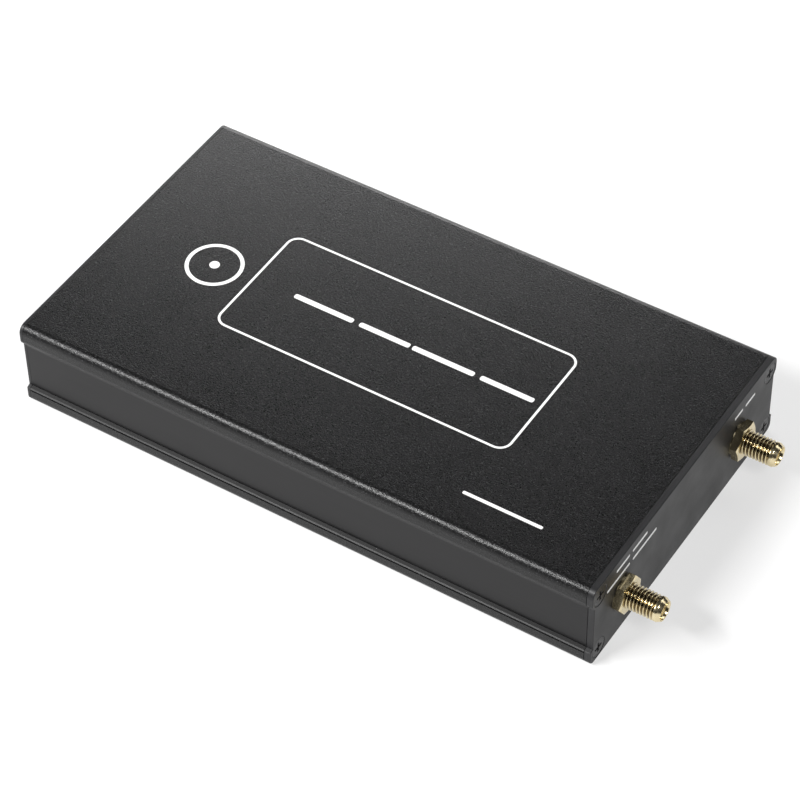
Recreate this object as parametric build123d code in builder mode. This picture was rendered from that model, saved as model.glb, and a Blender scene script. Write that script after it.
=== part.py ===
from build123d import *
import os

# Handheld spectrum analyzer in a split aluminium case, all sizes in millimetres.
#
# Frame: the printed label face is up (+Z) and the display face is down, resting on Z = 0.
# +X points to the end with the two RF jacks. The origin is the centre of the display face.
# In use the instrument is turned over about X, so "up" on the display is -Y here.

# ---------------------------------------------------------------- driving dimensions
case_length = 160.0          # over both end plates
case_width = 88.0
case_height = 25.4
wall = 2.0                   # extrusion wall and face thickness
rf_plate_thickness = 1.8
power_plate_thickness = 1.0
body_rf_end = case_length / 2 - rf_plate_thickness
body_power_end = -case_length / 2 + power_plate_thickness
body_length = body_rf_end - body_power_end

# Outline of the case, seen along X. Both sides are the same.
top_corner_radius = 2.3
bottom_corner_radius = 1.8
upper_bead_bottom = 21.0     # the upper bead runs from the top face down to here
side_wall_top = 18.7         # below the bead, the side wall is set back
side_setback = 1.0
side_wall_bottom = 5.0
lip_top = 4.65               # the label shell's lip, over the display cover's bead
lip_chamfer = 0.2
seam_height = 3.8            # joint between label shell and display cover
seam_gap = 0.5               # height of the shadow gap under the lip
seam_gap_depth = 0.6
edge_break = 0.2             # deburred outer edges of the end plates
seam_groove = 0.16           # chamfer on the end plates' inner edges, a fine groove at the joint

# Screw ports of the extrusions and their M3 countersunk screws
port_radius = 1.35
port_boss_radius = 2.5
port_slit = 1.4
upper_port = (40.6, 21.7)    # (distance from the middle, height)
lower_port = (40.3, 3.2)
screw_length = 9.0
screw_shank_radius = 1.33    # pitch radius of the M3 thread
screw_hole_radius = 1.6
screw_head_radius = 2.7
head_rim = 0.1               # straight edge of the head, above its cone
head_recess = 0.08           # the heads lie this far below the plate's face
countersink_radius = screw_head_radius + head_rim + head_recess

# RF jacks: 1/4-36 thread, edge mounted on the main board, clamped to the end plate
jack_height = case_height / 2
output_jack_across = -30.2
input_jack_across = 25.65
jack_reach = 11.2            # from the plate's outer face to the jack's tip
thread_radius = 3.175
neck_radius = 3.0            # pitch radius, where plate, washer and nut sit
jack_hole_radius = 3.25
tip_radius = 2.65
tip_chamfer = 0.9
socket_radius = 2.3
socket_depth = 1.9
socket_lead_in = 0.15
dielectric_radius = 2.05
contact_radius = 0.635
contact_bore_radius = 0.47
contact_bore_depth = 2.6
solder_pin_radius = 0.45
flange_width = 6.35
flange_thickness = 2.0
fit_gap = 0.02               # between concentric pieces that are pressed or glued
washer_thickness = 0.35
washer_radius = 4.4
nut_across_flats = 9.0
nut_thickness = 2.0

# Main board, slid into slots in the label shell
board_thickness = 1.6
board_top = jack_height - solder_pin_radius - fit_gap
board_bottom = board_top - board_thickness
board_edge = 40.7            # half width
slot_clearance = 0.1
rib_depth = 2.0
rib_thickness = 1.2
inner_half_width = case_width / 2 - side_setback - wall
board_rf_end = body_rf_end - flange_thickness - 0.1
board_power_end = body_power_end + 0.3

# Display
display_x = -20.0
lcd_size = (105.5, 67.2, 3.0)
lens_size = (102.0, 61.0, 1.0)
window_size = (97.0, 56.0)
active_size = (95.0, 53.9)
lens_recess = 0.2            # the lens sits this far below the display face
lens_gap = 0.2
gasket_thickness = 0.5
gasket_width = 4.0

# Keys: four directions round one centre key
key_centre_x = 55.0
key_pitch = 11.5
key_radius = 4.5
key_hole_radius = 4.8
key_flange_radius = 5.4
key_flange_thickness = 0.8
key_recess = 0.3
key_travel = 0.25
key_board_size = (35.0, 44.0, 1.2)
switch_size = (6.0, 6.0, 3.5)
plunger_radius = 1.75
key_board_boss_radius = 2.2
key_board_screw_spacing = (29.0, 38.0)

# Power end: charging socket, slide switch and indicator on the other end plate
usb_across = 0.0
usb_size = (7.4, 8.9, 3.2)
power_switch_across = 22.0
power_switch_size = (4.0, 9.0, 4.0)
switch_travel = 2.0
knob_width = 1.8
knob_reach = 2.0
indicator_across = -16.0
light_pipe_radius = 1.45

# Battery, taped under the label face
battery_size = (60.0, 50.0, 7.4)
battery_x = -14.0
tape_thickness = 0.4
lead_radius = 0.6

os.makedirs("parts", exist_ok=True)


def save(piece, name):
    """Labels one finished piece and writes its file."""
    piece.part.label = name
    export_step(piece.part, f"parts/{name}.step")


# Outer face of the RF end plate, local x across and local y up, and the same for the power end
rf_face = Plane(origin=(case_length / 2, 0, 0), x_dir=(0, 1, 0), z_dir=(1, 0, 0))
power_face = Plane(origin=(-case_length / 2, 0, 0), x_dir=(0, -1, 0), z_dir=(-1, 0, 0))
upper_places = [(side * upper_port[0], upper_port[1]) for side in (-1, 1)]
lower_places = [(side * lower_port[0], lower_port[1]) for side in (-1, 1)]
screw_places = upper_places + lower_places
# The heads reach through the thin power end plate into the mouths of the ports behind it
port_mouth = power_face.offset(-power_plate_thickness)
port_mouth_radius = countersink_radius - power_plate_thickness + 0.05

# ---------------------------------------------------------------- case outline
# Half of the outline, from the middle of the label face down to the middle of the display
# face, in (across, up) coordinates, then mirrored.
half_width = case_width / 2
with BuildLine() as case_outline:
    Line((0, case_height), (half_width - top_corner_radius, case_height))
    CenterArc(
        (half_width - top_corner_radius, case_height - top_corner_radius),
        top_corner_radius,
        90,
        -90,
    )
    Line((half_width, case_height - top_corner_radius), (half_width, upper_bead_bottom))
    Spline(
        (half_width, upper_bead_bottom),
        (half_width - side_setback, side_wall_top),
        tangents=((0, -1), (0, -1)),
    )
    Polyline(
        (half_width - side_setback, side_wall_top),
        (half_width - side_setback, side_wall_bottom),
        (half_width - lip_chamfer, lip_top),
        (half_width, lip_top - lip_chamfer),
        (half_width, bottom_corner_radius),
    )
    CenterArc(
        (half_width - bottom_corner_radius, bottom_corner_radius),
        bottom_corner_radius,
        0,
        -90,
    )
    Line((half_width - bottom_corner_radius, 0), (0, 0))
    mirror(about=Plane.YZ)

# ---------------------------------------------------------------- label shell
# One extrusion: label face, both side walls, slots for the main board and upper screw ports.
foot_width = 1.6             # how much of the wall stands on the display cover's bead
foot_inner = half_width - foot_width
cover_rail_top = 4.2
with BuildPart() as label_shell:
    with BuildSketch(Plane.YZ.offset(body_power_end)):
        make_face(case_outline.edges())
        with Locations((0, seam_height)):
            Rectangle(case_width + 2, 2 * seam_height, align=(Align.CENTER, Align.MAX), mode=Mode.SUBTRACT)
            Rectangle(
                2 * foot_inner,
                cover_rail_top + 0.3 - seam_height,
                align=(Align.CENTER, Align.MIN),
                mode=Mode.SUBTRACT,
            )
            Rectangle(
                2 * inner_half_width,
                case_height - wall - seam_height,
                align=(Align.CENTER, Align.MIN),
                mode=Mode.SUBTRACT,
            )
        for side in (-1, 1):
            with Locations((side * (half_width - seam_gap_depth / 2), seam_height)):
                Rectangle(seam_gap_depth, seam_gap, align=(Align.CENTER, Align.MIN), mode=Mode.SUBTRACT)
            with Locations((side * upper_port[0], upper_port[1])):
                Circle(port_boss_radius)
            rib_middle = side * (inner_half_width - rib_depth / 2)
            with Locations((rib_middle, board_bottom - slot_clearance)):
                Rectangle(rib_depth, rib_thickness, align=(Align.CENTER, Align.MAX))
            with Locations((rib_middle, board_top + slot_clearance)):
                Rectangle(rib_depth, rib_thickness, align=(Align.CENTER, Align.MIN))
        for side in (-1, 1):
            with Locations((side * upper_port[0], upper_port[1])):
                Circle(port_radius, mode=Mode.SUBTRACT)
            with Locations(Location((side * upper_port[0], upper_port[1]), -90 - side * 45)):
                Rectangle(2 * port_boss_radius, port_slit, align=(Align.MIN, Align.CENTER), mode=Mode.SUBTRACT)
    extrude(amount=body_length)
    with Locations(port_mouth):
        with Locations(*upper_places):
            CounterSinkHole(port_radius, port_mouth_radius, depth=2, counter_sink_angle=90)
save(label_shell, "label_shell")

# ---------------------------------------------------------------- display cover
# The other extrusion: display face with its lower beads and the lower screw ports,
# then machined for the display and the keys.
rail_inner = 37.9
rail_outer = 42.2
key_places = {
    "up": (0, -key_pitch),
    "down": (0, key_pitch),
    "left": (-key_pitch, 0),
    "right": (key_pitch, 0),
    "ok": (0, 0),
}
key_board_bottom = 7.6
boss_height = key_board_bottom - wall
with BuildPart() as display_cover:
    with BuildSketch(Plane.YZ.offset(body_power_end)):
        make_face(case_outline.edges())
        with Locations((0, seam_height)):
            Rectangle(case_width + 2, case_height, align=(Align.CENTER, Align.MIN), mode=Mode.SUBTRACT)
        with Locations((0, wall)):
            Rectangle(2 * rail_inner, case_height, align=(Align.CENTER, Align.MIN), mode=Mode.SUBTRACT)
        for side in (-1, 1):
            with Locations((side * (rail_inner + rail_outer) / 2, wall)):
                Rectangle(rail_outer - rail_inner, cover_rail_top - wall, align=(Align.CENTER, Align.MIN))
            with Locations((side * lower_port[0], lower_port[1])):
                Circle(port_radius, mode=Mode.SUBTRACT)
    extrude(amount=body_length)
    with Locations(port_mouth):
        with Locations(*lower_places):
            CounterSinkHole(port_radius, port_mouth_radius, depth=2, counter_sink_angle=90)
    # rebate for the lens, open to the outside, and the window behind it
    with BuildSketch():
        with Locations((display_x, 0)):
            RectangleRounded(lens_size[0] + 2 * lens_gap, lens_size[1] + 2 * lens_gap, 2.0 + lens_gap)
    extrude(amount=lens_recess + lens_size[2], mode=Mode.SUBTRACT)
    with BuildSketch():
        with Locations((display_x, 0)):
            RectangleRounded(*window_size, 1.0)
    extrude(amount=wall, mode=Mode.SUBTRACT)
    # key holes, dished a little on the outside
    with BuildSketch():
        with Locations(*[(key_centre_x + dx, dy) for dx, dy in key_places.values()]):
            Circle(key_hole_radius)
    extrude(amount=wall, mode=Mode.SUBTRACT)
    hole_rims = (
        display_cover.edges()
        .filter_by(GeomType.CIRCLE)
        .filter_by(lambda e: abs(e.radius - key_hole_radius) < 0.01 and abs(e.center().Z) < 0.01)
    )
    chamfer(hole_rims, 0.3)
    # bosses for the key board
    with BuildSketch(Plane.XY.offset(wall)):
        with Locations((key_centre_x, 0)):
            with GridLocations(*key_board_screw_spacing, 2, 2):
                Circle(key_board_boss_radius)
    extrude(amount=boss_height)
    with BuildSketch(Plane.XY.offset(key_board_bottom)):
        with Locations((key_centre_x, 0)):
            with GridLocations(*key_board_screw_spacing, 2, 2):
                Circle(0.82)
    extrude(amount=-4.5, mode=Mode.SUBTRACT)
save(display_cover, "display_cover")

# ---------------------------------------------------------------- end plates
with BuildPart() as rf_end_plate:
    with BuildSketch(rf_face.offset(-rf_plate_thickness)):
        make_face(case_outline.edges())
    extrude(amount=rf_plate_thickness)
    fillet(rf_end_plate.faces().sort_by(Axis.X)[-1].edges(), edge_break)
    chamfer(rf_end_plate.faces().sort_by(Axis.X)[0].edges(), seam_groove)
    with Locations(rf_face):
        with Locations(*screw_places):
            CounterSinkHole(screw_hole_radius, countersink_radius, counter_sink_angle=90)
        with Locations((output_jack_across, jack_height), (input_jack_across, jack_height)):
            Hole(jack_hole_radius)
save(rf_end_plate, "rf_end_plate")

usb_middle = board_top + usb_size[2] / 2
knob_middle = board_top + power_switch_size[2] / 2
light_pipe_middle = board_top + 1.8
with BuildPart() as power_end_plate:
    with BuildSketch(power_face.offset(-power_plate_thickness)):
        make_face(case_outline.edges())
    extrude(amount=power_plate_thickness)
    fillet(power_end_plate.faces().sort_by(Axis.X)[0].edges(), edge_break)
    chamfer(power_end_plate.faces().sort_by(Axis.X)[-1].edges(), seam_groove)
    with Locations(power_face):
        with Locations(*screw_places):
            CounterSinkHole(screw_hole_radius, countersink_radius, counter_sink_angle=90)
        with Locations((-indicator_across, light_pipe_middle)):
            Hole(light_pipe_radius + 0.05)
    with BuildSketch(power_face):
        with Locations((-usb_across, usb_middle)):
            RectangleRounded(usb_size[1] + 0.4, usb_size[2] + 0.4, 1.6)
        with Locations((-power_switch_across, knob_middle)):
            RectangleRounded(knob_width + switch_travel + 0.6, knob_width + 0.5, 0.5)
    extrude(amount=-power_plate_thickness, mode=Mode.SUBTRACT)
save(power_end_plate, "power_end_plate")

# ---------------------------------------------------------------- end screws
# One countersunk cross-head screw with its head's top at local Z = 0, used eight times.
head_depth = screw_head_radius - screw_shank_radius
cross_length = 3.0
cross_width = 0.75
cross_depth = 1.3
with BuildPart() as end_screw:
    with BuildSketch(Plane.XZ):
        with BuildLine():
            Polyline(
                (0, -head_recess),
                (screw_head_radius - head_rim, -head_recess),
                (screw_head_radius, -head_recess - head_rim),
                (screw_shank_radius, -head_recess - head_rim - head_depth),
                (screw_shank_radius, -screw_length + 0.5),
                (screw_shank_radius - 0.4, -screw_length),
                (0, -screw_length),
                close=True,
            )
        make_face()
    revolve(axis=Axis.Z)
    with BuildSketch(Plane.XY.offset(-head_recess)):
        Rectangle(cross_length, cross_width)
        Rectangle(cross_width, cross_length)
    extrude(amount=-cross_depth, taper=14, mode=Mode.SUBTRACT)

with BuildPart(rf_face) as rf_end_screws:
    with Locations(*screw_places):
        add(end_screw.part)
save(rf_end_screws, "rf_end_screws")

with BuildPart(power_face) as power_end_screws:
    with Locations(*screw_places):
        add(end_screw.part)
save(power_end_screws, "power_end_screws")


# ---------------------------------------------------------------- RF jacks
def rf_jack(name, across, nut_turn):
    """The five pieces of one jack. nut_turn is how far its nut is turned, in degrees."""
    face = Plane(origin=(case_length / 2, across, jack_height), x_dir=(0, 1, 0), z_dir=(1, 0, 0))
    flange_back = -rf_plate_thickness - flange_thickness
    thread_start = washer_thickness + nut_thickness
    socket_floor = jack_reach - socket_depth

    # Body: square flange with four legs that straddle the board, neck, thread and tip
    leg = 1.0
    leg_length = 3.5
    leg_across = flange_width / 2 - leg / 2
    upper_leg = board_top - jack_height + 0.03 + leg / 2
    lower_leg = board_bottom - jack_height - 0.03 - leg / 2
    with BuildPart() as jack_body:
        with BuildSketch(face.offset(flange_back)):
            Rectangle(flange_width, flange_width)
        extrude(amount=flange_thickness)
        with BuildSketch(face.offset(flange_back)):
            with Locations(*[(s * leg_across, up) for s in (-1, 1) for up in (upper_leg, lower_leg)]):
                Rectangle(leg, leg)
        extrude(amount=-leg_length)
        with BuildSketch(face.offset(-rf_plate_thickness)):
            Circle(neck_radius)
        extrude(amount=rf_plate_thickness + thread_start)
        with BuildSketch(face.offset(thread_start)):
            Circle(thread_radius)
        extrude(amount=jack_reach - thread_start)
        tip_edge = jack_body.faces().sort_by(Axis.X)[-1].edges()
        chamfer(tip_edge, length=tip_chamfer, length2=thread_radius - tip_radius)
        with BuildSketch(face.offset(jack_reach)):
            Circle(socket_radius)
        extrude(amount=-socket_depth, mode=Mode.SUBTRACT)
        mouth = jack_body.faces().sort_by(Axis.X)[-1].edges().sort_by(SortBy.LENGTH)[0]
        chamfer(mouth, socket_lead_in)
        with BuildSketch(face.offset(socket_floor)):
            Circle(dielectric_radius + fit_gap)
        extrude(amount=flange_back - socket_floor, mode=Mode.SUBTRACT)
    save(jack_body, f"{name}_jack_body")

    with BuildPart() as dielectric:
        with BuildSketch(face.offset(flange_back)):
            Circle(dielectric_radius)
            Circle(contact_radius + fit_gap, mode=Mode.SUBTRACT)
        extrude(amount=socket_floor - flange_back)
    save(dielectric, f"{name}_jack_dielectric")

    # Centre contact: slotted socket in front, solder pin behind, resting over the board
    with BuildPart() as contact:
        with BuildSketch(face.offset(flange_back)):
            Circle(contact_radius)
        extrude(amount=socket_floor - flange_back)
        with BuildSketch(face.offset(flange_back)):
            Circle(solder_pin_radius)
        extrude(amount=-2.5)
        with BuildSketch(face.offset(socket_floor)):
            Circle(contact_bore_radius)
        extrude(amount=-contact_bore_depth, mode=Mode.SUBTRACT)
        with BuildSketch(face.offset(socket_floor)):
            Rectangle(2 * contact_radius + 0.1, 0.2)
            Rectangle(0.2, 2 * contact_radius + 0.1)
        extrude(amount=-2.0, mode=Mode.SUBTRACT)
    save(contact, f"{name}_jack_contact")

    # Internal-tooth lock washer
    with BuildPart() as lock_washer:
        with BuildSketch(face):
            Circle(washer_radius)
            Circle(neck_radius + 0.1, mode=Mode.SUBTRACT)
            with PolarLocations(neck_radius + 0.1, 12):
                Rectangle(1.2, 0.7, mode=Mode.SUBTRACT)
        extrude(amount=washer_thickness)
    save(lock_washer, f"{name}_jack_washer")

    # Hexagon nut, its corners turned down to a cone on the outer face
    corner_radius = nut_across_flats / 2 / 0.866
    crown = 0.35
    with BuildPart() as nut_cone:
        with BuildSketch(face.offset(washer_thickness)):
            Circle(corner_radius + 0.05)
        extrude(amount=nut_thickness)
        rim = nut_cone.faces().sort_by(Axis.X)[-1].edges()
        chamfer(rim, length=crown, length2=corner_radius + 0.05 - nut_across_flats / 2 + 0.15)
    with BuildPart() as nut:
        with BuildSketch(face.offset(washer_thickness)):
            RegularPolygon(nut_across_flats / 2, 6, major_radius=False, rotation=nut_turn)
        extrude(amount=nut_thickness)
        add(nut_cone.part, mode=Mode.INTERSECT)
        with BuildSketch(face.offset(washer_thickness)):
            Circle(neck_radius + fit_gap)
        extrude(amount=nut_thickness, mode=Mode.SUBTRACT)
        mouth = (
            nut.faces().sort_by(Axis.X)[-1].edges().filter_by(GeomType.CIRCLE).sort_by(SortBy.LENGTH)[0]
        )
        chamfer(mouth, 0.3)
    save(nut, f"{name}_jack_nut")


rf_jack("output", output_jack_across, nut_turn=3.8)
rf_jack("input", input_jack_across, nut_turn=-12.2)

# ---------------------------------------------------------------- main board and what is on it
with BuildPart() as main_board:
    with BuildSketch(Plane.XY.offset(board_bottom)):
        with Locations(((board_rf_end + board_power_end) / 2, 0)):
            Rectangle(board_rf_end - board_power_end, 2 * board_edge)
    extrude(amount=board_thickness)
save(main_board, "main_board")


def shield_can(name, low, high, height=3.0):
    """Folded sheet-metal can, open towards the board, from corner low to corner high."""
    sheet = 0.3
    middle = ((low[0] + high[0]) / 2, (low[1] + high[1]) / 2)
    size = (high[0] - low[0], high[1] - low[1])
    with BuildPart() as can:
        with BuildSketch(Plane.XY.offset(board_top)):
            with Locations(middle):
                Rectangle(*size)
        extrude(amount=height)
        fillet(can.edges().group_by(Axis.Z)[-1], 0.25)
        with BuildSketch(Plane.XY.offset(board_top)):
            with Locations(middle):
                Rectangle(size[0] - 2 * sheet, size[1] - 2 * sheet)
        extrude(amount=height - sheet, mode=Mode.SUBTRACT)
    save(can, name)


def chip(name, middle, size, leads=0):
    """Moulded chip with chamfered top edges and, if asked, that many leads on each side."""
    with BuildPart() as body:
        with BuildSketch(Plane.XY.offset(board_top)):
            with Locations(middle):
                Rectangle(size[0], size[1])
        extrude(amount=size[2])
        chamfer(body.edges().group_by(Axis.Z)[-1], 0.15)
        if leads:
            pitch = (size[0] - 1.5) / (leads - 1)
            with BuildSketch(Plane.XY.offset(board_top)):
                with Locations(middle):
                    with GridLocations(pitch, size[1] + 0.8, leads, 2):
                        Rectangle(0.25, 1.2)
                    with GridLocations(size[0] + 0.8, pitch, 2, leads):
                        Rectangle(1.2, 0.25)
            extrude(amount=0.2)
    save(body, name)


shield_can("generator_shield", (40.0, -38.0), (71.0, -12.0))
shield_can("receiver_shield", (30.0, -6.0), (71.0, 38.0))
chip("generator_synthesizer", (60.0, -28.0), (5.0, 5.0, 0.9))
chip("local_oscillator", (48.0, 12.0), (5.0, 5.0, 0.9))
chip("reference_oscillator", (24.0, -22.0), (5.0, 3.2, 1.5))
chip("microcontroller", (6.0, 0.0), (10.0, 10.0, 1.4), leads=12)

with BuildPart() as power_inductor:
    with BuildSketch(Plane.XY.offset(board_top)):
        with Locations((-64.0, -26.0)):
            RectangleRounded(7.0, 7.0, 1.5)
    extrude(amount=3.0)
    chamfer(power_inductor.edges().group_by(Axis.Z)[-1], 0.4)
save(power_inductor, "power_inductor")

# ---------------------------------------------------------------- display
lens_bottom = lens_recess
with BuildPart() as display_lens:
    with BuildSketch(Plane.XY.offset(lens_bottom)):
        with Locations((display_x, 0)):
            RectangleRounded(lens_size[0], lens_size[1], 2.0)
    extrude(amount=lens_size[2])
    chamfer(display_lens.edges().group_by(Axis.Z)[0], 0.15)
save(display_lens, "display_lens")

with BuildPart() as display_gasket:
    with BuildSketch(Plane.XY.offset(wall)):
        with Locations((display_x, 0)):
            Rectangle(lcd_size[0], lcd_size[1])
            Rectangle(lcd_size[0] - 2 * gasket_width, lcd_size[1] - 2 * gasket_width, mode=Mode.SUBTRACT)
    extrude(amount=gasket_thickness)
save(display_gasket, "display_gasket")

# The panel's glass lies in a moulded tray, which holds the backlight
lcd_front = wall + gasket_thickness
glass_thickness = 1.1
with BuildPart() as lcd_glass:
    with BuildSketch(Plane.XY.offset(lcd_front + 0.3)):
        with Locations((display_x, 0)):
            Rectangle(lcd_size[0] - 0.8, lcd_size[1] - 0.8)
    extrude(amount=glass_thickness)
save(lcd_glass, "lcd_glass")

with BuildPart() as lcd_tray:
    with BuildSketch(Plane.XY.offset(lcd_front)):
        with Locations((display_x, 0)):
            Rectangle(lcd_size[0], lcd_size[1])
    extrude(amount=lcd_size[2])
    with BuildSketch(Plane.XY.offset(lcd_front + 0.3)):
        with Locations((display_x, 0)):
            Rectangle(lcd_size[0] - 0.6, lcd_size[1] - 0.6)
    extrude(amount=glass_thickness + 0.1, mode=Mode.SUBTRACT)
    with BuildSketch(Plane.XY.offset(lcd_front)):
        with Locations((display_x, 0)):
            Rectangle(*active_size)
    extrude(amount=0.3, mode=Mode.SUBTRACT)
save(lcd_tray, "lcd_tray")

# Flat cable: out of the tray's long edge, round half a turn and into its socket on the board
cable_width = 22.0
cable_thickness = 0.3
cable_low = lcd_front + 1.8
cable_high = board_bottom - 1.0
cable_turn = (cable_high - cable_low) / 2
tray_edge = lcd_size[1] / 2
socket_front = 31.0
with BuildPart() as lcd_cable:
    with BuildSketch(Plane.YZ.offset(display_x - cable_width / 2)):
        with BuildLine():
            Line((tray_edge + 0.02, cable_low), (tray_edge + 1.5, cable_low))
            CenterArc((tray_edge + 1.5, cable_low + cable_turn), cable_turn, -90, 180)
            Line((tray_edge + 1.5, cable_high), (socket_front + 0.02, cable_high))
        trace(line_width=cable_thickness)
    extrude(amount=cable_width)
save(lcd_cable, "lcd_cable")

with BuildPart() as lcd_socket:
    with BuildSketch(Plane.XY.offset(board_bottom)):
        with Locations((display_x, socket_front)):
            Rectangle(cable_width + 3.0, 5.0, align=(Align.CENTER, Align.MAX))
    extrude(amount=-2.0)
    chamfer(lcd_socket.edges().group_by(Axis.Z)[0], 0.2)
save(lcd_socket, "lcd_socket")

# ---------------------------------------------------------------- keys
key_board_top = key_board_bottom + key_board_size[2]
with BuildPart() as key_board:
    with BuildSketch(Plane.XY.offset(key_board_bottom)):
        with Locations((key_centre_x, 0)):
            RectangleRounded(key_board_size[0], key_board_size[1], 2.0)
            with GridLocations(*key_board_screw_spacing, 2, 2):
                Circle(1.1, mode=Mode.SUBTRACT)
    extrude(amount=key_board_size[2])
save(key_board, "key_board")

with BuildPart() as key_board_screws:
    with BuildSketch(Plane.XY.offset(key_board_top)):
        with Locations((key_centre_x, 0)):
            with GridLocations(*key_board_screw_spacing, 2, 2):
                Circle(1.9)
    extrude(amount=1.2)
    fillet(key_board_screws.edges().group_by(Axis.Z)[-1], 0.4)
    with BuildSketch(Plane.XY.offset(key_board_top)):
        with Locations((key_centre_x, 0)):
            with GridLocations(*key_board_screw_spacing, 2, 2):
                Circle(0.8)
    extrude(amount=-5.0)
    with BuildSketch(Plane.XY.offset(key_board_top + 1.2)):
        with Locations((key_centre_x, 0)):
            with GridLocations(*key_board_screw_spacing, 2, 2):
                Rectangle(2.0, 0.4)
                Rectangle(0.4, 2.0)
    extrude(amount=-0.7, mode=Mode.SUBTRACT)
save(key_board_screws, "key_board_screws")

with BuildPart() as key_board_header:
    with BuildSketch(Plane.XY.offset(key_board_top)):
        with Locations((key_centre_x, key_board_size[1] / 2 - 5.0)):
            Rectangle(12.7, 2.5)
    extrude(amount=board_bottom - key_board_top)
save(key_board_header, "key_board_header")

# Each key is a cap behind the cover, the plunger of its switch, and the switch itself
flange_bottom = wall + 0.1
plunger_start = flange_bottom + key_flange_thickness
switch_bottom = key_board_bottom - switch_size[2]
plunger_end = switch_bottom + 0.8
for name, (dx, dy) in key_places.items():
    key_middle = (key_centre_x + dx, dy)

    with BuildPart() as key_cap:
        with BuildSketch(Plane.XY.offset(key_recess)):
            with Locations(key_middle):
                Circle(key_radius)
        extrude(amount=flange_bottom - key_recess)
        fillet(key_cap.edges().group_by(Axis.Z)[0], 0.5)
        with BuildSketch(Plane.XY.offset(flange_bottom)):
            with Locations(key_middle):
                Circle(key_flange_radius)
        extrude(amount=key_flange_thickness)
    save(key_cap, f"key_cap_{name}")

    with BuildPart() as key_plunger:
        with BuildSketch(Plane.XY.offset(plunger_start)):
            with Locations(key_middle):
                Circle(plunger_radius)
        extrude(amount=plunger_end - plunger_start)
        fillet(key_plunger.edges().group_by(Axis.Z)[0], 0.2)
    save(key_plunger, f"key_plunger_{name}")

    with BuildPart() as key_switch:
        with BuildSketch(Plane.XY.offset(switch_bottom)):
            with Locations(key_middle):
                RectangleRounded(switch_size[0], switch_size[1], 0.4)
        extrude(amount=switch_size[2])
        chamfer(key_switch.edges().group_by(Axis.Z)[0], 0.2)
        with BuildSketch(Plane.XY.offset(switch_bottom)):
            with Locations(key_middle):
                Circle(plunger_radius + 0.1)
        extrude(amount=plunger_end - switch_bottom + key_travel + 0.3, mode=Mode.SUBTRACT)
    save(key_switch, f"key_switch_{name}")

# ---------------------------------------------------------------- power end
# USB-C receptacle: rounded steel shell with a closed back and a tongue inside
usb_mouth = -case_length / 2 + 0.2
usb_sheet = 0.35
usb_plane = Plane(origin=(usb_mouth, usb_across, usb_middle), x_dir=(0, 1, 0), z_dir=(1, 0, 0))
with BuildPart(usb_plane) as usb_socket:
    with BuildSketch(usb_plane):
        RectangleRounded(usb_size[1], usb_size[2], 1.3)
    extrude(amount=usb_size[0])
    with BuildSketch(usb_plane):
        RectangleRounded(usb_size[1] - 2 * usb_sheet, usb_size[2] - 2 * usb_sheet, 1.3 - usb_sheet)
    extrude(amount=usb_size[0] - 1.2, mode=Mode.SUBTRACT)
    with BuildSketch(usb_plane.offset(0.6)):
        RectangleRounded(6.6, 0.7, 0.2)
    extrude(amount=usb_size[0] - 1.2)
save(usb_socket, "usb_socket")

# Slide switch: a hollow body with a slot, and a slider that is off at rest
switch_front = board_power_end
cavity = (2.8, 7.2, 2.8)
knob_rest = power_switch_across - switch_travel / 2
knob_plane = Plane(origin=(switch_front, power_switch_across, knob_middle), x_dir=(0, 1, 0), z_dir=(1, 0, 0))
with BuildPart(knob_plane) as power_switch_body:
    with BuildSketch(knob_plane):
        Rectangle(power_switch_size[1], power_switch_size[2])
    extrude(amount=power_switch_size[0])
    with BuildSketch(knob_plane.offset(0.6)):
        Rectangle(cavity[1], cavity[2])
    extrude(amount=cavity[0], mode=Mode.SUBTRACT)
    with BuildSketch(knob_plane):
        Rectangle(knob_width + switch_travel + 0.6, knob_width + 0.4)
    extrude(amount=0.6, mode=Mode.SUBTRACT)
save(power_switch_body, "power_switch_body")

slider_plane = Plane(origin=(switch_front, knob_rest, knob_middle), x_dir=(0, 1, 0), z_dir=(1, 0, 0))
knob_tip = -case_length / 2 - knob_reach
knob_length = switch_front + 0.8 - knob_tip
with BuildPart(slider_plane) as power_switch_slider:
    with BuildSketch(slider_plane.offset(0.8)):
        Rectangle(3.2, 2.4)
    extrude(amount=2.2)
    with BuildSketch(slider_plane.offset(0.8)):
        Rectangle(knob_width, knob_width)
    extrude(amount=-knob_length)
    fillet(power_switch_slider.edges().group_by(Axis.X)[0], 0.25)
    # two grip grooves across the knob's tip
    with BuildSketch(Plane.XY.offset(knob_middle)):
        with Locations((knob_tip, knob_rest - 0.35), (knob_tip, knob_rest + 0.35)):
            Rectangle(0.5, 0.25)
    extrude(amount=knob_width, both=True, mode=Mode.SUBTRACT)
save(power_switch_slider, "power_switch_slider")

indicator_front = board_power_end + 1.0
with BuildPart() as indicator_led:
    with BuildSketch(Plane.XY.offset(board_top)):
        with Locations((indicator_front, indicator_across)):
            Rectangle(1.5, 3.2, align=(Align.MIN, Align.CENTER))
    extrude(amount=2.6)
    chamfer(indicator_led.edges().group_by(Axis.Z)[-1], 0.2)
save(indicator_led, "indicator_led")

pipe_plane = Plane(
    origin=(indicator_front - 0.1, indicator_across, light_pipe_middle), x_dir=(0, 1, 0), z_dir=(-1, 0, 0)
)
pipe_length = indicator_front - 0.1 + case_length / 2 + 0.2
with BuildPart(pipe_plane) as light_pipe:
    with BuildSketch(pipe_plane):
        Circle(light_pipe_radius)
    extrude(amount=pipe_length)
    fillet(light_pipe.edges().group_by(Axis.X)[0], 0.5)
save(light_pipe, "light_pipe")

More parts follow.
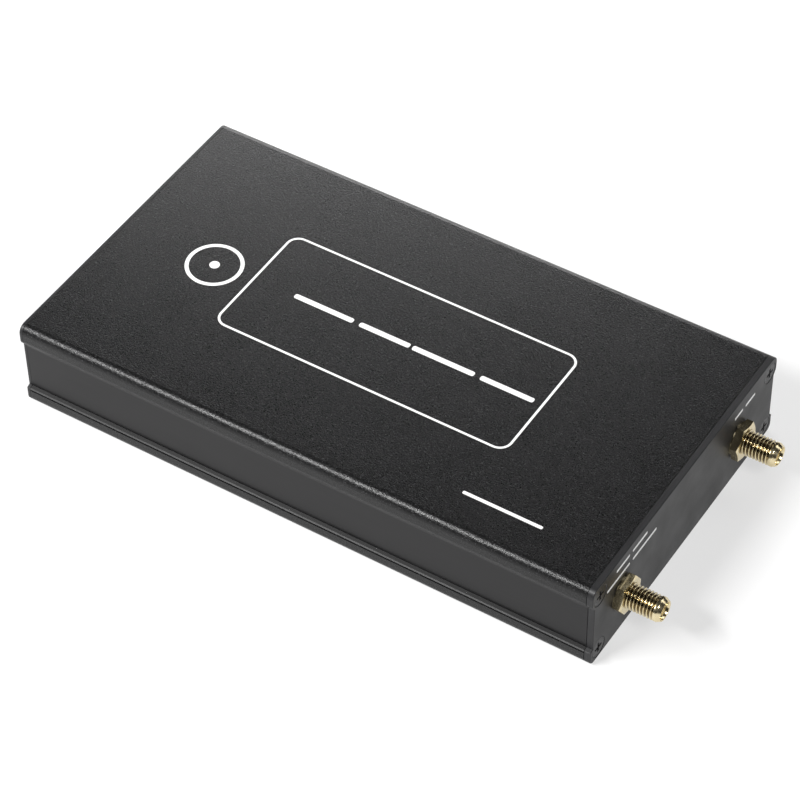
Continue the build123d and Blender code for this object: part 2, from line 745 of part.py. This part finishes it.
# ---------------------------------------------------------------- battery
battery_top = case_height - wall - tape_thickness
with BuildPart() as battery_tape:
    with BuildSketch(Plane.XY.offset(battery_top)):
        with Locations((battery_x, 0)):
            Rectangle(battery_size[0] - 10, battery_size[1] - 10)
    extrude(amount=tape_thickness)
save(battery_tape, "battery_tape")

with BuildPart() as battery:
    with BuildSketch(Plane.XY.offset(battery_top - battery_size[2])):
        with Locations((battery_x, 0)):
            RectangleRounded(battery_size[0], battery_size[1], 2.5)
    extrude(amount=battery_size[2])
    fillet(battery.edges().group_by(Axis.Z)[-1], 1.2)
    fillet(battery.edges().group_by(Axis.Z)[0], 1.2)
save(battery, "battery")

# Leads: from the battery's end, down to a plug in its socket on the board
battery_end = battery_x - battery_size[0] / 2
plug_across = -18.0
plug_height = board_top + 2.4
socket_mouth = -56.0
plug_back = -52.0
lead_height = 19.0
with BuildPart() as battery_socket:
    with BuildSketch(Plane.XY.offset(board_top)):
        with Locations((socket_mouth, plug_across)):
            Rectangle(6.0, 7.9, align=(Align.MAX, Align.CENTER))
    extrude(amount=4.8)
save(battery_socket, "battery_socket")

with BuildPart() as battery_plug:
    with BuildSketch(Plane.XY.offset(board_top + 0.4)):
        with Locations((socket_mouth, plug_across)):
            Rectangle(plug_back - socket_mouth, 5.8, align=(Align.MIN, Align.CENTER))
    extrude(amount=4.0)
    fillet(battery_plug.edges().filter_by(Axis.X).group_by(Axis.Z)[-1], 0.4)
save(battery_plug, "battery_plug")

for name, side in (("positive", -1), ("negative", 1)):
    across = plug_across + side * 1.0
    with BuildPart() as battery_lead:
        with BuildLine() as lead_path:
            FilletPolyline(
                (plug_back, across, plug_height),
                (plug_back + 2.8, across, plug_height),
                (battery_end - 2.8, across, lead_height),
                (battery_end, across, lead_height),
                radius=1.8,
            )
        with BuildSketch(Plane(origin=(plug_back, across, plug_height), z_dir=(1, 0, 0))):
            Circle(lead_radius)
        sweep(path=lead_path.wires()[0])
    save(battery_lead, f"battery_lead_{name}")
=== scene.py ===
import math

import bmesh
import bpy
from mathutils import Euler, Matrix, Vector


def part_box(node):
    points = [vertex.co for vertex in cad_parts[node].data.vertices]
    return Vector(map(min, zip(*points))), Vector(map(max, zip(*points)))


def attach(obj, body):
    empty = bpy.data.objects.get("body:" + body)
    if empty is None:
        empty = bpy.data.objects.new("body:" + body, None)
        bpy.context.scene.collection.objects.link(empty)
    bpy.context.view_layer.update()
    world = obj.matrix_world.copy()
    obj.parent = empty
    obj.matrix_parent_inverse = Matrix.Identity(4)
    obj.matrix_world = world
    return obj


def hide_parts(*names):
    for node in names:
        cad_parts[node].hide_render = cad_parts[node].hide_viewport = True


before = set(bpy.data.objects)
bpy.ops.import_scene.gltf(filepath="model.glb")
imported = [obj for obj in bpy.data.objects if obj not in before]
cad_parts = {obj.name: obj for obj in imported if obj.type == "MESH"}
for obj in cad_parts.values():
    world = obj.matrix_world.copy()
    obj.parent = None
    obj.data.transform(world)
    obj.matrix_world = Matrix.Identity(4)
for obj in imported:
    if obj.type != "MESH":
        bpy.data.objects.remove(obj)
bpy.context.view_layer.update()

MM = 0.001
# the thread's depth attribute below also paints shade into the thread's valleys
VALLEY = "thread_valley"  # vertex attribute: how deep in the thread a point lies, 0 to 1

# Faces that the looks are placed from, in metres
label_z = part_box("label_shell")[1].z
plate_low, plate_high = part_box("rf_end_plate")


# ---------------------------------------------------------------- materials
class Nodes:
    """A material's node tree, with short calls for the nodes that these surfaces share."""

    def __init__(self, name):
        self.material = bpy.data.materials.new(name)
        self.material.use_nodes = True
        self.tree = self.material.node_tree
        self.shader = self.tree.nodes["Principled BSDF"]
        self.place = self.tree.nodes.new("ShaderNodeTexCoord").outputs["Object"]

    def link(self, source, target):
        self.tree.links.new(source, target)

    def stretched(self, scale):
        """Object coordinates multiplied by a scale for each axis."""
        mapping = self.tree.nodes.new("ShaderNodeMapping")
        mapping.inputs["Scale"].default_value = scale
        self.link(self.place, mapping.inputs["Vector"])
        return mapping.outputs["Vector"]

    def noise(self, size, detail=2.0, stretch=None):
        """Noise whose features are about size millimetres across."""
        node = self.tree.nodes.new("ShaderNodeTexNoise")
        node.inputs["Scale"].default_value = 1 / (size * MM)
        node.inputs["Detail"].default_value = detail
        self.link(self.stretched(stretch) if stretch else self.place, node.inputs["Vector"])
        return node.outputs["Fac"]

    def cells(self, size):
        """Distance to the middle of cells about size millimetres across."""
        node = self.tree.nodes.new("ShaderNodeTexVoronoi")
        node.inputs["Scale"].default_value = 1 / (size * MM)
        self.link(self.place, node.inputs["Vector"])
        return node.outputs["Distance"]

    def axis(self, letter):
        """One object coordinate, in metres."""
        node = self.tree.nodes.new("ShaderNodeSeparateXYZ")
        self.link(self.place, node.inputs["Vector"])
        return node.outputs[letter]

    def math(self, operation, first, second=0.0):
        node = self.tree.nodes.new("ShaderNodeMath")
        node.operation = operation
        for socket, value in zip(node.inputs, (first, second)):
            if isinstance(value, (int, float)):
                socket.default_value = value
            else:
                self.link(value, socket)
        return node.outputs["Value"]

    def remap(self, value, low, high, to_low, to_high):
        node = self.tree.nodes.new("ShaderNodeMapRange")
        for name, number in (("From Min", low), ("From Max", high), ("To Min", to_low), ("To Max", to_high)):
            node.inputs[name].default_value = number
        self.link(value, node.inputs["Value"])
        return node.outputs["Result"]

    def blend(self, factor, first, second):
        """A colour between first and second, each a colour or another node's output."""
        node = self.tree.nodes.new("ShaderNodeMix")
        node.data_type = "RGBA"
        self.link(factor, node.inputs["Factor"])
        for socket, value in zip((node.inputs[6], node.inputs[7]), (first, second)):
            if isinstance(value, tuple):
                socket.default_value = (*value, 1.0)
            else:
                self.link(value, socket)
        return node.outputs[2]

    def drift(self, value, dark, light, low=0.3, high=0.7):
        """A colour that goes from dark to light as value goes from low to high."""
        return self.blend(self.remap(value, low, high, 0.0, 1.0), dark, light)

    def color(self, value):
        self.link(value, self.shader.inputs["Base Color"])

    def roughness(self, value, low, high, to_low, to_high):
        self.link(self.remap(value, low, high, to_low, to_high), self.shader.inputs["Roughness"])

    def bump(self, *layers):
        """Stacks bumps, each a (height output, depth in millimetres)."""
        below = None
        for height, depth in layers:
            node = self.tree.nodes.new("ShaderNodeBump")
            node.inputs["Strength"].default_value = 1.0
            node.inputs["Distance"].default_value = depth * MM
            self.link(height, node.inputs["Height"])
            if below:
                self.link(below, node.inputs["Normal"])
            below = node.outputs["Normal"]
        self.link(below, self.shader.inputs["Normal"])

    def set(self, **values):
        for name, value in values.items():
            self.shader.inputs[name.replace("_", " ")].default_value = value


def case_black():
    """Black anodised extrusion: blasted faces and beads with painted glints, satin walls, and a painted
    highlight on the ledge over the seam.
    """
    m = Nodes("case_blasted_black")
    grain = 0.26
    # heights where the finish changes
    bead_end = label_z - 5.0 * MM
    seam_top = 4.2 * MM
    lip_edge = 4.7 * MM
    wall_foot = 5.06 * MM
    height = m.axis("Z")
    above = m.remap(height, bead_end, bead_end + 0.8 * MM, 0.0, 1.0)
    below = m.remap(height, seam_top - 0.2 * MM, seam_top, 1.0, 0.0)
    blasted = m.math("MAXIMUM", above, below)
    fine = m.noise(grain, 3.0)
    cloud = m.noise(14.0, 3.0)
    rough_color = m.drift(fine, (0.003, 0.003, 0.0032), (0.009, 0.009, 0.0094))
    # painted highlight: bright specks painted into the blasted grain stand for the glints of its sparkle
    painted_glints = m.remap(m.noise(grain * 1.2, 1.0), 0.62, 0.74, 0.0, 0.30)
    rough_color = m.blend(painted_glints, rough_color, (0.16, 0.16, 0.165))
    drawn = m.noise(0.5, 2.0, (0.02, 1.0, 1.0))
    smooth_color = m.drift(drawn, (0.0050, 0.0048, 0.0052), (0.0075, 0.0071, 0.0077))
    color = m.blend(blasted, smooth_color, rough_color)
    # painted highlight: the ledge over the seam is painted paler, most of all at its edge, standing for the
    # highlight line along the lip
    over_seam = m.remap(height, seam_top, seam_top + 0.1 * MM, 0.0, 1.0)
    ledge = m.math("MULTIPLY", over_seam, m.remap(height, wall_foot - 0.08 * MM, wall_foot, 1.0, 0.0))
    edge = m.math("MULTIPLY", over_seam, m.remap(height, lip_edge - 0.06 * MM, lip_edge, 1.0, 0.0))
    color = m.blend(ledge, color, (0.014, 0.0137, 0.014))
    # painted highlight along the lip's edge, broken up by the grain
    lip_painted_highlight = m.math("MULTIPLY", edge, m.remap(fine, 0.3, 0.6, 0.5, 1.0))
    m.color(m.blend(lip_painted_highlight, color, (0.050, 0.050, 0.050)))
    mixed = m.math("ADD", m.math("MULTIPLY", fine, 0.85), m.math("MULTIPLY", cloud, 0.15))
    blasted_rough = m.remap(mixed, 0.35, 0.65, 0.25, 0.37)
    smooth_rough = m.remap(cloud, 0.3, 0.7, 0.33, 0.36)
    # roughness between the two finishes
    step = m.math("SUBTRACT", blasted_rough, smooth_rough)
    m.link(m.math("ADD", smooth_rough, m.math("MULTIPLY", step, blasted)), m.shader.inputs["Roughness"])
    m.bump(
        (drawn, 0.001),
        (m.math("MULTIPLY", m.noise(grain * 1.5, 2.0), blasted), 0.075),
        (m.math("MULTIPLY", fine, blasted), 0.034),
    )
    m.set(Specular_IOR_Level=0.29)
    return m.material


def satin_black():
    """The smoother black of the end plates: faint grinding lines across, with small scuffs."""
    m = Nodes("plate_satin_black")
    lines = m.noise(0.35, 2.0, (1.0, 0.03, 1.0))
    cloud = m.noise(9.0, 4.0)
    base = m.drift(lines, (0.011, 0.011, 0.012), (0.016, 0.016, 0.017))
    marks = m.remap(m.noise(0.5, 4.0), 0.62, 0.75, 0.0, 0.35)
    scuff = m.math("MULTIPLY", marks, m.remap(cloud, 0.5, 0.7, 0.0, 1.0))
    m.color(m.blend(scuff, base, (0.06, 0.06, 0.062)))
    m.roughness(cloud, 0.3, 0.7, 0.40, 0.52)
    m.bump((lines, 0.003), (m.noise(0.12, 2.0), 0.002))
    m.set(Specular_IOR_Level=0.36)
    return m.material


def oxide_black():
    """Black oxide on screw steel, a little worn to bare steel in fine specks."""
    m = Nodes("screw_oxide_black")
    fine = m.noise(0.12, 3.0)
    m.color(m.drift(fine, (0.012, 0.012, 0.013), (0.06, 0.06, 0.062), 0.35, 0.75))
    m.roughness(m.noise(0.6, 3.0), 0.3, 0.7, 0.28, 0.48)
    m.bump((fine, 0.004))
    m.set(Metallic=0.7)
    return m.material


def plated_gold():
    """Gold plate over turned brass: fine turning rings about the jack's axis and a thin handling haze."""
    m = Nodes("jack_gold")
    rings = m.noise(0.10, 2.0, (1.0, 0.02, 0.02))
    haze = m.noise(1.4, 4.0)
    gold = m.drift(haze, (0.68, 0.57, 0.34), (0.80, 0.70, 0.46))
    gold = m.blend(m.remap(m.noise(0.3, 4.0), 0.60, 0.78, 0.0, 0.5), gold, (0.42, 0.32, 0.17))
    # painted shade: the thread's valleys are painted dark brown by their depth, standing for the shade
    # between the ridges
    valley = m.tree.nodes.new("ShaderNodeAttribute")
    valley.attribute_name = VALLEY
    m.color(m.blend(m.remap(valley.outputs["Fac"], 0.15, 0.85, 0.0, 0.92), gold, (0.10, 0.068, 0.034)))
    m.roughness(haze, 0.3, 0.7, 0.14, 0.27)
    m.bump((rings, 0.0015), (m.noise(0.2, 2.0), 0.001))
    m.set(Metallic=1.0)
    return m.material


def moulded(name, dark, light, rough, grain=0.25, depth=0.004, **extra):
    """Moulded plastic or rubber: slight colour drift, a fine spark-eroded texture and uneven gloss."""
    m = Nodes(name)
    fine = m.noise(grain, 3.0)
    m.color(m.drift(m.noise(5.0, 3.0), dark, light))
    m.roughness(fine, 0.3, 0.7, rough - 0.06, rough + 0.06)
    m.bump((fine, depth))
    m.set(**extra)
    return m.material


def sheet_metal(name, dark, light, rough, along=(0.04, 1.0, 1.0)):
    """Rolled or plated sheet, with lines along one axis and light stains."""
    m = Nodes(name)
    lines = m.noise(0.15, 2.0, along)
    stain = m.noise(3.0, 4.0)
    m.color(m.drift(stain, dark, light))
    m.roughness(lines, 0.3, 0.7, rough - 0.07, rough + 0.09)
    m.bump((lines, 0.002))
    m.set(Metallic=1.0)
    return m.material


def circuit_board():
    """Green solder mask over copper: raised tracks under the mask, tinned pads and the glass weave."""
    m = Nodes("board_solder_mask")
    tracks = m.tree.nodes.new("ShaderNodeTexBrick")
    tracks.inputs["Scale"].default_value = 1 / (7.62 * MM)
    tracks.inputs["Mortar Size"].default_value = 0.035
    m.link(m.place, tracks.inputs["Vector"])
    mask = m.drift(m.noise(2.0, 4.0), (0.006, 0.055, 0.022), (0.010, 0.085, 0.034))
    mask = m.blend(tracks.outputs["Fac"], mask, (0.030, 0.150, 0.060))
    pads = m.remap(m.cells(2.4), 0.10, 0.14, 1.0, 0.0)
    m.color(m.blend(pads, mask, (0.62, 0.60, 0.52)))
    m.roughness(m.noise(0.8, 2.0), 0.3, 0.7, 0.22, 0.36)
    m.bump((tracks.outputs["Fac"], 0.03), (m.noise(0.5, 1.0), 0.004))
    m.set(Coat_Weight=0.3)
    return m.material


def cover_glass():
    """Dark polished cover glass with an even black back print, faint smears and dust."""
    m = Nodes("display_cover_glass")
    smear = m.noise(11.0, 5.0, (1.0, 2.5, 1.0))
    dust = m.remap(m.noise(0.35, 1.0), 0.74, 0.80, 0.0, 0.5)
    base = m.drift(smear, (0.004, 0.004, 0.005), (0.007, 0.007, 0.009))
    m.color(m.blend(dust, base, (0.10, 0.10, 0.10)))
    m.roughness(smear, 0.35, 0.7, 0.03, 0.08)
    m.bump((m.noise(0.3, 2.0), 0.0001))
    m.set(IOR=1.52, Coat_Weight=0.6, Coat_Roughness=0.03)
    return m.material


def switched_off_panel():
    """The unlit liquid-crystal panel: near black with its fine pixel grid."""
    m = Nodes("lcd_unlit_panel")
    grid = m.tree.nodes.new("ShaderNodeTexBrick")
    grid.inputs["Scale"].default_value = 1 / (0.6 * MM)
    grid.inputs["Mortar Size"].default_value = 0.05
    grid.offset = 0.0
    m.link(m.place, grid.inputs["Vector"])
    m.color(m.blend(grid.outputs["Fac"], (0.010, 0.012, 0.015), (0.003, 0.003, 0.004)))
    m.roughness(m.noise(4.0, 3.0), 0.3, 0.7, 0.15, 0.25)
    m.bump((grid.outputs["Fac"], 0.002))
    return m.material


def frosted_pipe():
    """Clear acrylic with a frosted end."""
    m = Nodes("frosted_acrylic")
    m.color(m.drift(m.noise(1.0, 3.0), (0.78, 0.82, 0.84), (0.88, 0.90, 0.92)))
    m.roughness(m.noise(0.3, 3.0), 0.3, 0.7, 0.30, 0.50)
    m.bump((m.noise(0.15, 2.0), 0.006))
    m.set(Transmission_Weight=0.6, IOR=1.49)
    return m.material


def white_ink():
    """Screen-printed white ink, thin over the grain, so it pales and pits a little."""
    m = Nodes("printed_white_ink")
    fine = m.noise(0.22, 3.0)
    thin = m.remap(m.noise(0.30, 4.0), 0.60, 0.80, 0.0, 0.4)
    base = m.drift(m.noise(6.0, 3.0), (0.86, 0.86, 0.85), (0.93, 0.93, 0.92))
    m.color(m.blend(thin, base, (0.25, 0.25, 0.25)))
    m.roughness(fine, 0.3, 0.7, 0.50, 0.68)
    m.bump((fine, 0.006))
    return m.material


def pale_floor():
    m = Nodes("pale_floor")
    m.color(m.drift(m.noise(60.0, 3.0), (0.36, 0.36, 0.36), (0.38, 0.38, 0.38)))
    m.roughness(m.noise(4.0, 2.0), 0.3, 0.7, 0.75, 0.85)
    m.set(Specular_IOR_Level=0.15, Emission_Color=(1.0, 1.0, 1.0, 1.0), Emission_Strength=0.58)
    return m.material


case_finish = case_black()
plate_black = satin_black()
screw_black = oxide_black()
gold = plated_gold()
white = white_ink()

finishes = {
    "label_shell": case_finish,
    "display_cover": case_finish,
    "rf_end_plate": plate_black,
    "power_end_plate": plate_black,
    "rf_end_screws": screw_black,
    "power_end_screws": screw_black,
    "display_lens": cover_glass(),
    "display_gasket": moulded("gasket_foam", (0.012, 0.012, 0.012), (0.022, 0.022, 0.022), 0.85, 0.35, 0.05),
    "lcd_glass": switched_off_panel(),
    "lcd_tray": moulded("tray_white_moulding", (0.66, 0.66, 0.64), (0.74, 0.74, 0.72), 0.5),
    "lcd_cable": moulded("polyimide_film", (0.42, 0.19, 0.04), (0.50, 0.25, 0.07), 0.32, 0.6, 0.002),
    "light_pipe": frosted_pipe(),
    "indicator_led": moulded("led_lens", (0.80, 0.80, 0.74), (0.88, 0.88, 0.82), 0.3),
    "battery_tape": moulded("foam_tape", (0.72, 0.72, 0.70), (0.80, 0.80, 0.78), 0.8, 0.4, 0.03),
    "battery_lead_positive": moulded("lead_red", (0.42, 0.02, 0.02), (0.56, 0.03, 0.03), 0.42),
    "battery_lead_negative": moulded("lead_black", (0.012, 0.012, 0.012), (0.022, 0.022, 0.022), 0.42),
    "reference_oscillator": sheet_metal("oscillator_lid", (0.60, 0.57, 0.48), (0.74, 0.71, 0.62), 0.32),
    "power_inductor": moulded("pressed_ferrite", (0.045, 0.045, 0.05), (0.08, 0.08, 0.085), 0.6, 0.18, 0.02),
    "battery": sheet_metal("pouch_foil", (0.56, 0.57, 0.59), (0.68, 0.69, 0.71), 0.34, (1.0, 0.3, 1.0)),
}
board = circuit_board()
tinned = sheet_metal("tinned_steel", (0.52, 0.52, 0.50), (0.66, 0.66, 0.64), 0.28)
chip_black = moulded("moulded_epoxy", (0.018, 0.018, 0.018), (0.034, 0.034, 0.034), 0.62, 0.12, 0.008)
cream = moulded("moulded_nylon", (0.66, 0.63, 0.54), (0.76, 0.73, 0.64), 0.45)
switch_black = moulded("switch_moulding", (0.018, 0.018, 0.018), (0.030, 0.030, 0.030), 0.42, 0.2, 0.006)
key_grey = moulded("key_moulding", (0.055, 0.055, 0.058), (0.075, 0.075, 0.078), 0.55, 0.2, 0.010)
ptfe = moulded(
    "turned_fluoropolymer", (0.78, 0.78, 0.74), (0.86, 0.86, 0.83), 0.5, 0.2, 0.004, Subsurface_Weight=0.15
)
for group, finish in (
    (("main_board", "key_board"), board),
    (("generator_shield", "receiver_shield", "usb_socket", "key_board_screws"), tinned),
    (("generator_synthesizer", "local_oscillator", "microcontroller", "key_board_header"), chip_black),
    (("lcd_socket", "battery_socket", "battery_plug"), cream),
    (("power_switch_body", "power_switch_slider"), switch_black),
):
    for name in group:
        finishes[name] = finish
for key in ("up", "down", "left", "right", "ok"):
    finishes[f"key_cap_{key}"] = key_grey
    finishes[f"key_plunger_{key}"] = cream
    finishes[f"key_switch_{key}"] = switch_black
for jack in ("output", "input"):
    for piece in ("body", "contact", "washer", "nut"):
        finishes[f"{jack}_jack_{piece}"] = gold
    finishes[f"{jack}_jack_dielectric"] = ptfe

for name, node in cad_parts.items():
    node.data.materials.clear()
    node.data.materials.append(finishes[name])


# ---------------------------------------------------------------- new pieces
def mesh_object(name, mesh, material, smooth_angle=None):
    """Wraps a bmesh as an object; faces are smooth where they meet at less than smooth_angle degrees."""
    data = bpy.data.meshes.new(name)
    mesh.to_mesh(data)
    mesh.free()
    data.materials.append(material)
    piece = bpy.data.objects.new(name, data)
    bpy.context.scene.collection.objects.link(piece)
    if smooth_angle is not None:
        data.shade_smooth()
        data.set_sharp_from_angle(angle=math.radians(smooth_angle))
    return piece


def part_of(piece, body):
    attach(piece, body)


# RF jacks with a helical thread. The crest radius is the CAD jack's.
def jack_body(jack):
    """The whole gold body: flange, legs, neck, helical thread, tip and socket, as one closed turned mesh."""
    low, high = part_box(f"{jack}_jack_body")
    hole_low, hole_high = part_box(f"{jack}_jack_dielectric")
    washer_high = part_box(f"{jack}_jack_washer")[1]
    nut_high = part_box(f"{jack}_jack_nut")[1]
    middle_y = (hole_low.y + hole_high.y) / 2
    middle_z = (hole_low.z + hole_high.z) / 2
    bore = (hole_high.y - hole_low.y) / 2 + 0.02 * MM
    # radii, from the neck in the plate to the socket in the tip
    neck = 3.0 * MM
    crest = 3.175 * MM
    root = crest - 0.46 * MM
    collar = 2.98 * MM
    front_ring = crest - 0.06 * MM
    tip = 2.65 * MM
    socket = 2.3 * MM
    lead_in = 0.15 * MM
    # places along the jack
    flange_back = low.x + 3.5 * MM
    pitch = 0.88 * MM
    thread_from = washer_high.x + 0.1 * MM
    thread_to = high.x - 1.85 * MM
    runout = 0.5 * MM
    steps = 96
    rows_per_turn = 14

    def outer(x, angle):
        """Radius and depth, 0 to 1, of the threaded stretch, which fades out at both ends."""
        turn = (x - thread_from) / pitch - angle / (2 * math.pi)
        wave = 0.5 + 0.5 * math.cos(2 * math.pi * turn)
        fade_in = min(1.0, max(0.0, (x - thread_from) / runout))
        fade_out = min(1.0, max(0.0, (thread_to - x) / (0.6 * runout)))
        start = neck if x < nut_high.x else collar
        fade = min(fade_in, fade_out)
        return start + (root + (crest - root) * wave - start) * fade, (1 - wave) * fade

    rows = [(plate_low.x, neck), (thread_from, neck)]
    count = int((thread_to - thread_from) / pitch * rows_per_turn)
    rows += [(thread_from + (thread_to - thread_from) * i / count, None) for i in range(1, count)]
    rows += [
        (thread_to, collar),
        (thread_to + 0.12 * MM, front_ring),
        (high.x - 0.95 * MM, front_ring),
        (high.x - 0.85 * MM, crest - 0.14 * MM),
        (high.x - 0.08 * MM, tip + 0.02 * MM),
        (high.x, tip - 0.05 * MM),
        (high.x, socket + lead_in),
        (high.x - lead_in, socket),
        (hole_high.x, socket),
        (hole_high.x, bore),
        (flange_back, bore),
    ]
    mesh = bmesh.new()
    valley = mesh.verts.layers.float.new(VALLEY)
    rings = []
    for x, radius in rows:
        ring = []
        for i in range(steps):
            angle = 2 * math.pi * i / steps
            r, depth = outer(x, angle) if radius is None else (radius, 0.0)
            vert = mesh.verts.new((x, middle_y + r * math.cos(angle), middle_z + r * math.sin(angle)))
            vert[valley] = depth
            ring.append(vert)
        rings.append(ring)

    def bridge(a, b):
        for i in range(steps):
            j = (i + 1) % steps
            mesh.faces.new((a[i], a[j], b[j], b[i]))

    for a, b in zip(rings, rings[1:]):
        bridge(a, b)

    # Square flange behind the plate, bridged to the neck in front and to the bore behind
    half = 3.175 * MM

    def square(x):
        ring = []
        for i in range(steps):
            angle = 2 * math.pi * i / steps
            reach = half / max(abs(math.cos(angle)), abs(math.sin(angle)))
            point = (x, middle_y + reach * math.cos(angle), middle_z + reach * math.sin(angle))
            ring.append(mesh.verts.new(point))
        return ring

    front, back = square(plate_low.x), square(flange_back)
    for a, b in ((front, rings[0]), (back, front), (rings[-1], back)):
        bridge(a, b)

    # Four legs that straddle the board
    leg = 1.0 * MM
    board_low, board_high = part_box("main_board")
    gap = 0.03 * MM
    for across in (-1, 1):
        for z in (board_high.z + gap + leg / 2, board_low.z - gap - leg / 2):
            y = middle_y + across * (half - leg / 2)
            post = bmesh.ops.create_cube(mesh, size=1.0)["verts"]
            for vert in post:
                width = leg * (0.7 if vert.co.x < 0 else 1.0)
                x = (low.x + flange_back) / 2 + vert.co.x * (flange_back - low.x)
                vert.co = Vector((x, y + vert.co.y * width, z + vert.co.z * width))
    bmesh.ops.recalc_face_normals(mesh, faces=mesh.faces)
    piece = mesh_object(f"{jack}_jack_threaded_body", mesh, gold, smooth_angle=48)
    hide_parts(f"{jack}_jack_body")
    part_of(piece, "case")


for jack in ("output", "input"):
    jack_body(jack)


# ---------------------------------------------------------------- printed marks
INK = 0.02 * MM
STROKE = 0.6 * MM


def ink(name, loops, place):
    """A closed thin layer of ink. Each loop is a list of flat points; a loop inside another is a hole."""
    curve = bpy.data.curves.new(name, "CURVE")
    curve.dimensions = "2D"
    curve.fill_mode = "BOTH"
    curve.extrude = INK / 2
    for loop in loops:
        spline = curve.splines.new("POLY")
        spline.points.add(len(loop) - 1)
        for point, (x, y) in zip(spline.points, loop):
            point.co = (x, y, 0.0, 1.0)
        spline.use_cyclic_u = True
    shape = bpy.data.objects.new(name, curve)
    data = bpy.data.meshes.new_from_object(shape)
    bpy.data.objects.remove(shape)
    mesh = bmesh.new()
    mesh.from_mesh(data)
    bpy.data.meshes.remove(data)
    bmesh.ops.remove_doubles(mesh, verts=mesh.verts, dist=1e-7)
    mesh.transform(place @ Matrix.Translation((0, 0, INK / 2)))
    bmesh.ops.recalc_face_normals(mesh, faces=mesh.faces)
    part_of(mesh_object(name, mesh, white), "case")


def rounded(x, y, width, height, radius, steps=8):
    """Points round a rounded rectangle centred on x, y."""
    points = []
    for corner, (sx, sy) in enumerate(((1, 1), (-1, 1), (-1, -1), (1, -1))):
        for i in range(steps + 1):
            angle = math.pi / 2 * (corner + i / steps)
            points.append(
                (
                    x + sx * (width / 2 - radius) + radius * math.cos(angle),
                    y + sy * (height / 2 - radius) + radius * math.sin(angle),
                )
            )
    return points


def circle(x, y, radius, steps=64):
    angles = [2 * math.pi * i / steps for i in range(steps)]
    return [(x + radius * math.cos(a), y + radius * math.sin(a)) for a in angles]


def bar(start, end, middle, height):
    """A plain bar that stands where a word is printed."""
    return rounded((start + end) / 2, middle, end - start, height, min(height, end - start) * 0.35, 4)


label_place = Matrix.Translation((0, 0, label_z))
frame_x, frame_y = -0.1 * MM, 0.3 * MM
frame_width, frame_height, frame_corner = 82.5 * MM, 35.7 * MM, 3.4 * MM
ink(
    "label_frame_line",
    [
        rounded(frame_x, frame_y, frame_width, frame_height, frame_corner),
        rounded(frame_x, frame_y, frame_width - 2 * STROKE, frame_height - 2 * STROKE, frame_corner - STROKE),
    ],
    label_place,
)
name_bars = [(-29.2, -12.2), (-10.4, 3.9), (4.7, 22.0), (23.7, 38.4)]
ink("label_name_bars", [bar(a * MM, b * MM, 0.2 * MM, 1.5 * MM) for a, b in name_bars], label_place)
ring_x, ring_y, ring_radius = -52.0 * MM, -1.2 * MM, 7.4 * MM
ink(
    "label_ring_mark",
    [
        circle(ring_x, ring_y, ring_radius),
        circle(ring_x, ring_y, ring_radius - 1.0 * MM),
        circle(ring_x, ring_y, 1.3 * MM, 32),
    ],
    label_place,
)
ink("label_corner_bar", [bar(39.2 * MM, 60.4 * MM, -33.0 * MM, 0.9 * MM)], label_place)

# End plate: flat x runs along -Y and flat y runs down, as the words there are read upside down
plate_place = Matrix.Translation((plate_high.x, 0, 0)) @ Matrix(
    ((0, 0, 1, 0), (1, 0, 0, 0), (0, 1, 0, 0), (0, 0, 0, 1))
)
port_bars = {
    "output_port_bars": [
        (-33.4, -27.4, 22.6), (-26.0, -19.3, 22.6), (-37.5, -27.2, 19.6), (-25.8, -14.8, 19.6),
    ],
    "input_port_bars": [(22.9, 26.9, 21.6), (28.3, 33.0, 21.6)],
}
for name, bars in port_bars.items():
    ink(name, [bar(a * MM, b * MM, up * MM, 0.8 * MM) for a, b, up in bars], plate_place)


# ---------------------------------------------------------------- floor, light and camera
def floor():
    mesh = bmesh.new()
    bmesh.ops.create_grid(mesh, x_segments=12, y_segments=12, size=3.0)
    piece = mesh_object("floor", mesh, pale_floor())
    piece.location.z = -0.02 * MM


def area_light(name, energy, size, place, target=(0, 0, 0.01)):
    light = bpy.data.lights.new(name, "AREA")
    light.energy = energy
    light.shape = "RECTANGLE"
    light.size, light.size_y = size
    lamp = bpy.data.objects.new(name, light)
    bpy.context.scene.collection.objects.link(lamp)
    lamp.location = place
    lamp.visible_camera = False
    lamp.rotation_euler = (Vector(target) - Vector(place)).to_track_quat("-Z", "Y").to_euler()


floor()
world = bpy.data.worlds.new("studio")
bpy.context.scene.world = world
world.use_nodes = True
world.node_tree.nodes["Background"].inputs["Color"].default_value = (1.0, 1.0, 1.0, 1.0)
world.node_tree.nodes["Background"].inputs["Strength"].default_value = 0.03
area_light("key_softbox", 16.0, (0.50, 0.12), (-0.42, -0.64, 0.80))
area_light("rear_softbox", 0.80, (0.30, 0.10), (-0.18, 0.27, 0.14), (-0.055, 0.02, 0.025))
area_light("fill_softbox", 6.0, (0.30, 0.30), (0.75, -0.55, 1.10))
area_light("ridge_softbox", 1.6, (0.50, 0.50), (0.45, 0.60, 0.70))

camera_data = bpy.data.cameras.new("camera")
camera_data.sensor_width = 36.0
camera_data.lens = 139.05
camera_data.clip_start = 0.05
camera = bpy.data.objects.new("camera", camera_data)
bpy.context.scene.collection.objects.link(camera)
azimuth, elevation, roll = math.radians(33.14), math.radians(46.40), math.radians(1.071)
target = Vector((-1.8, 4.2, 0.0)) * MM
back = Vector(
    (math.sin(azimuth) * math.cos(elevation), -math.cos(azimuth) * math.cos(elevation), math.sin(elevation))
)
camera.location = target + back * 762.8 * MM
camera.rotation_euler = (back.to_track_quat("Z", "Y") @ Euler((0, 0, -roll)).to_quaternion()).to_euler()
bpy.context.scene.camera = camera
bpy.context.scene.view_settings.view_transform = "Standard"
